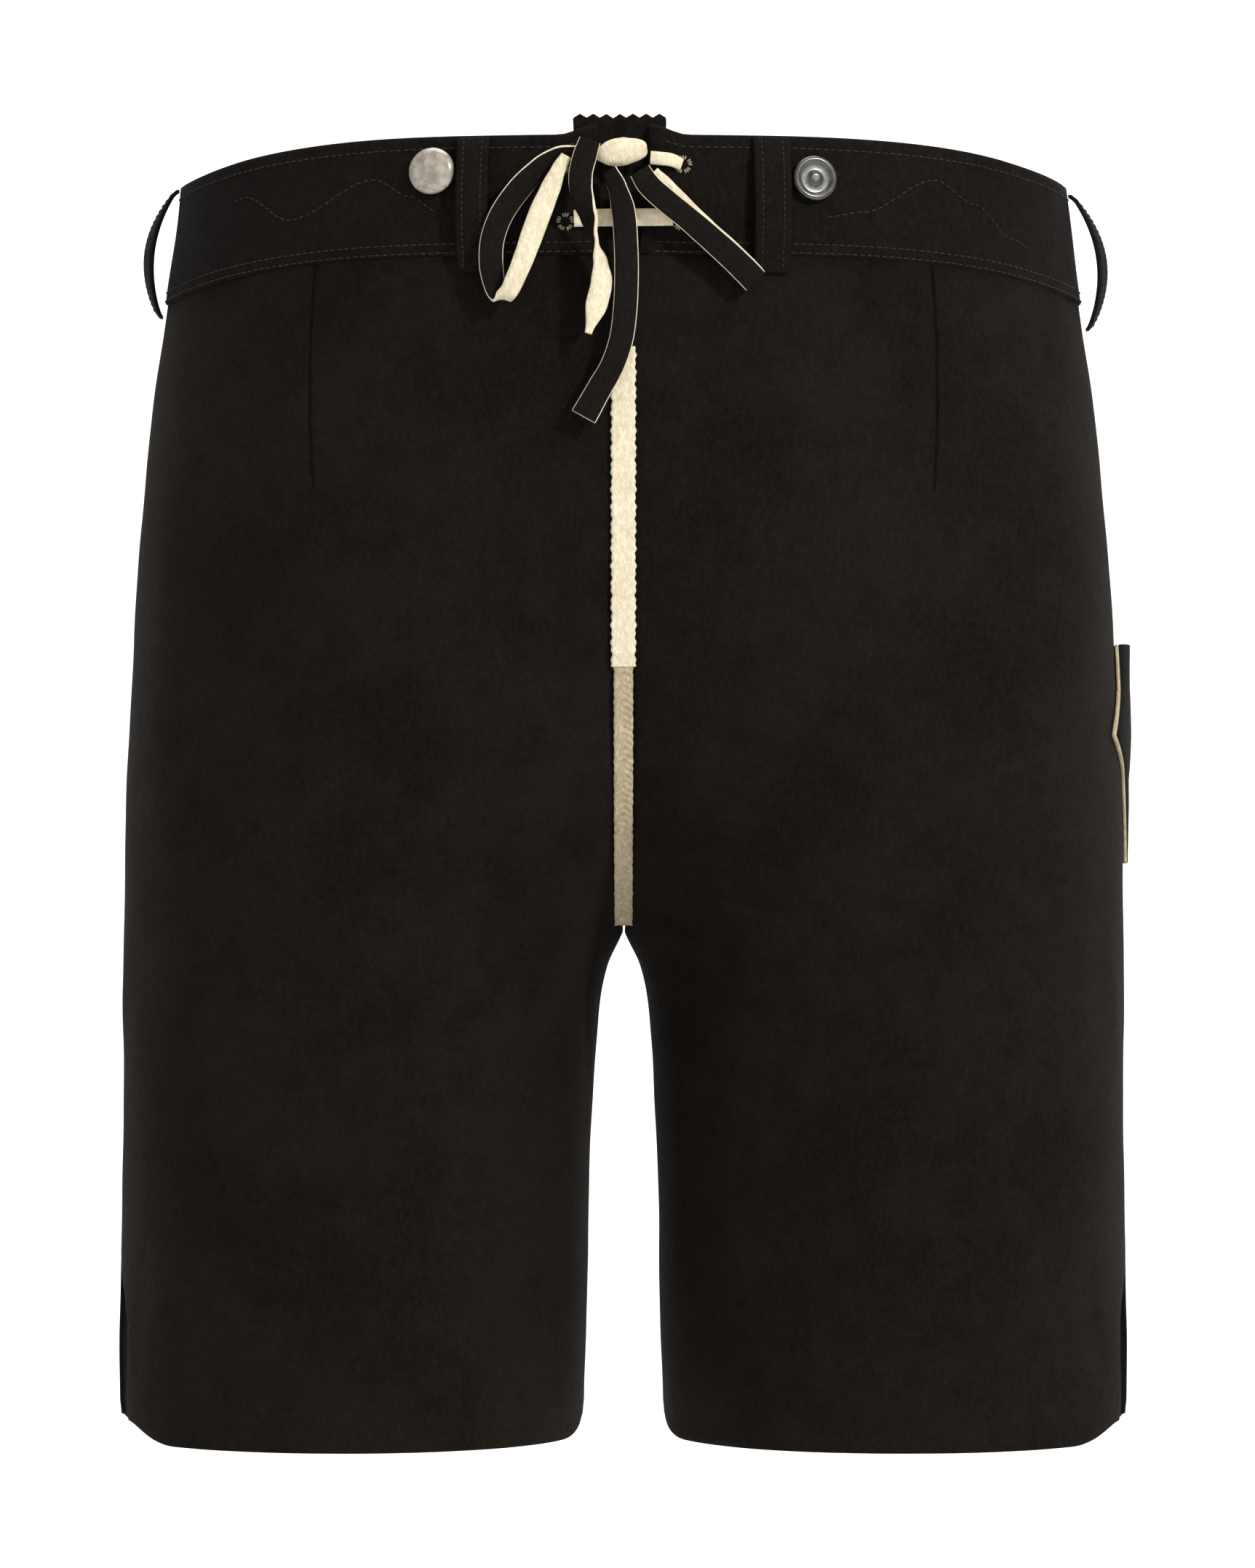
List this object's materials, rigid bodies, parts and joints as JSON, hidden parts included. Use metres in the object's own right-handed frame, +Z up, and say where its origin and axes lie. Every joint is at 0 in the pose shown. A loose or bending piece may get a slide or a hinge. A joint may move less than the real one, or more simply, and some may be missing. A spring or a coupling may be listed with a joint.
{
  "type": "lederhosen",
  "caption": "Short leather breeches with fall front, laced back notch, cream seat welt, belt loops and knife pocket, hollow as worn.",
  "frame": {"origin": "middle of the waist opening, level with the waistband's top edge at the side seams", "axes": "+Z up along the garment, +Y towards the wearer's back, +X towards the wearer's left"},
  "size_m": [0.4144, 0.2585, 0.5298],
  "materials": {
    "suede_brown": "deep brown suede, short nap",
    "band_black": "black-brown leather, close short nap",
    "trim_cream": "undyed cream leather, flesh side",
    "lace_black": "black thong with cream cut edges and flesh side",
    "button_pearl": "light grey polished horn dome",
    "button_slate": "slate grey turned horn with rings"
  },
  "bodies": {
    "root": {"back_panel_left": "suede_brown", "back_panel_right": "suede_brown", "front_panel_left": "suede_brown", "front_panel_right": "suede_brown", "fall_flap": "suede_brown", "waistband_back_left": "band_black", "waistband_back_right": "band_black", "waistband_front_left": "band_black", "waistband_front_right": "band_black", "back_tongue": "band_black", "belt_loop_back_left": "band_black", "belt_loop_back_right": "band_black", "belt_loop_side_left": "band_black", "belt_loop_side_right": "band_black", "knife_pocket": "band_black", "seat_welt_upper": "trim_cream", "seat_welt_lower": "trim_cream", "knife_pocket_edging": "trim_cream", "lace_knot": "trim_cream", "lace_crossing": "lace_black", "lace_to_eyelet_left": "lace_black", "lace_to_eyelet_right": "lace_black", "lace_loop_left": "lace_black", "lace_loop_right": "lace_black", "lace_end_short": "lace_black", "lace_end_long": "lace_black", "brace_button_back_left": "button_pearl", "brace_button_back_right": "button_slate", "brace_button_front_left": "button_slate", "brace_button_front_right": "button_slate", "flap_button_left": "button_slate", "flap_button_right": "button_slate"}
  },
  "joints": []
}
